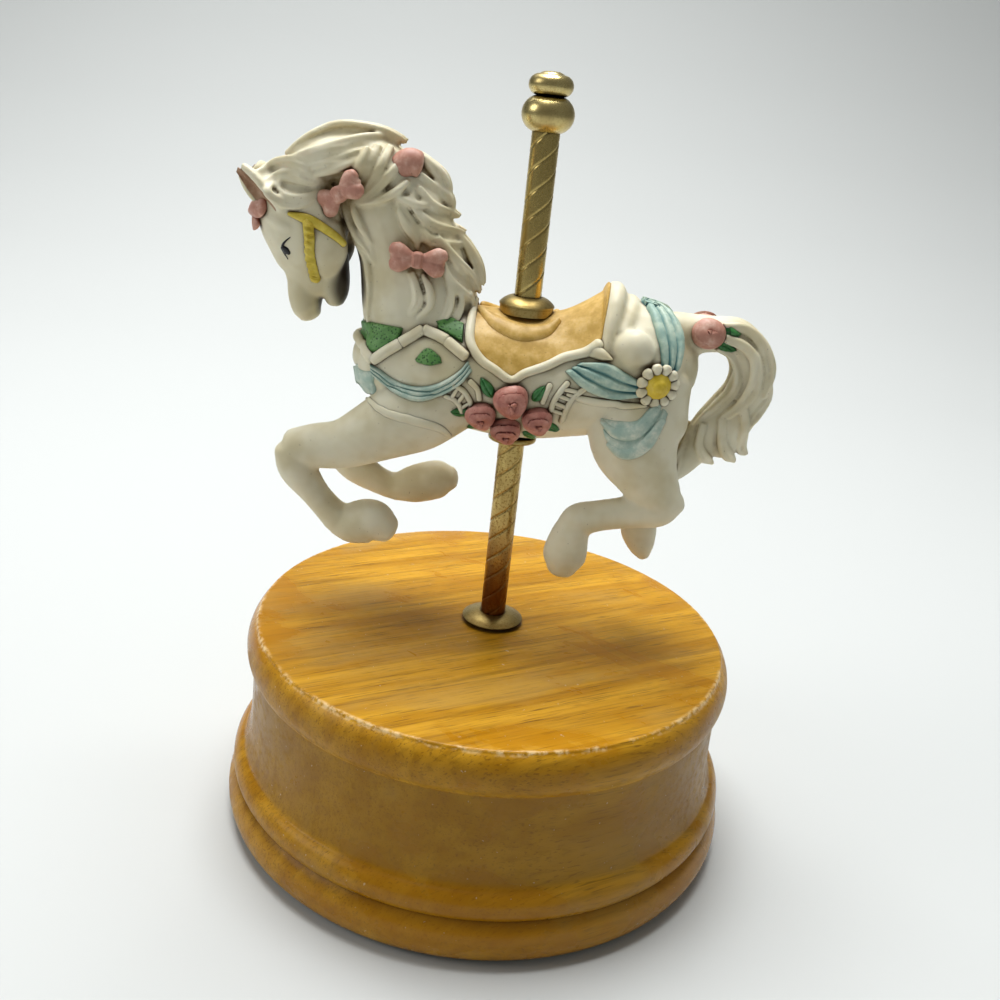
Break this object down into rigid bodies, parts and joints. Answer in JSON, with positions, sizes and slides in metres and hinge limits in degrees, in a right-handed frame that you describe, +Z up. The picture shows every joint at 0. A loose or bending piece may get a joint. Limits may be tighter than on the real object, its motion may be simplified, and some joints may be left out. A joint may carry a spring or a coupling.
{
  "type": "wind-up music box",
  "caption": "Round turned wooden music box with a jumping porcelain carousel horse that turns on a spiral brass pole as the spring movement plays.",
  "frame": {"origin": "centre of the underside of the wooden base, on the axis of the pole", "axes": "+Z up along the pole; the horse runs along X and faces -X at rest; its decorated side faces -Y"},
  "size_m": [0.114, 0.114, 0.1612],
  "materials": {
    "lacquered_wood": "honey-amber satin lacquer, rubbed pale on the rim",
    "plywood": "raw thin plywood",
    "porcelain": "matt bisque with a brown antique wash in the hollows and hand-painted relief",
    "gold_brass": "bright lacquered brass, tarnished in the spiral groove",
    "brass": "plain machined brass",
    "steel": "bright steel",
    "spring_steel": "blued spring steel",
    "zinc_casting": "grey zinc die casting",
    "plated_key": "thin brass plating on stamped steel",
    "nylon": "natural nylon"
  },
  "bodies": {
    "base": {"base_body": "lacquered_wood", "top_bush": "brass", "thrust_washer": "steel", "bottom_plate": "plywood", "bottom_plate_screws": "steel", "bedplate": "zinc_casting", "bedplate_screws": "steel", "comb": "steel", "comb_screws": "steel", "inner_bracket": "brass", "outer_bracket": "brass", "bracket_screws": "steel", "governor_frame": "zinc_casting", "governor_screws": "steel", "clutch_spring": "spring_steel"},
    "carousel": {"spring_barrel": "brass", "barrel_cover": "brass", "mainspring": "spring_steel", "center_rod": "steel", "base_flange": "gold_brass", "lower_pole": "gold_brass", "belly_collar": "gold_brass", "horse": "porcelain", "saddle_collar": "gold_brass", "upper_pole": "gold_brass", "finial_bead": "gold_brass", "finial_cap": "gold_brass"},
    "winder": {"winding_arbor": "steel", "winding_key": "plated_key"},
    "cylinder": {"music_cylinder": "brass", "cylinder_arbor": "steel", "cylinder_pinion": "steel", "cylinder_wheel": "brass"},
    "second_shaft": {"second_arbor": "steel", "second_pinion": "steel", "worm_wheel": "brass"},
    "governor": {"governor_worm": "steel", "governor_fan": "nylon"}
  },
  "joints": [
    {"name": "carousel_spin", "type": "hinge", "parent": "base", "child": "carousel", "pos_m": [0, 0, 0.0466], "axis": [0, 0, 1], "continuous": true},
    {"name": "key_wind", "type": "hinge", "parent": "base", "child": "winder", "pos_m": [0, 0, 0.006], "axis": [0, 0, 1], "range_deg": [0, 1440]},
    {"name": "cylinder_spin", "type": "hinge", "parent": "base", "child": "cylinder", "pos_m": [0.02525, 0, 0.0265], "axis": [1, 0, 0], "continuous": true},
    {"name": "second_spin", "type": "hinge", "parent": "base", "child": "second_shaft", "pos_m": [0.033, 0.0108, 0.0265], "axis": [1, 0, 0], "continuous": true},
    {"name": "governor_spin", "type": "hinge", "parent": "base", "child": "governor", "pos_m": [0.033, 0.01585, 0.026], "axis": [0, 0, 1], "continuous": true}
  ],
  "couplings": [
    {"joint": "cylinder_spin", "follows": "carousel_spin", "ratio": -4.2},
    {"joint": "second_spin", "follows": "carousel_spin", "ratio": 15.867},
    {"joint": "governor_spin", "follows": "carousel_spin", "ratio": -349.07}
  ]
}
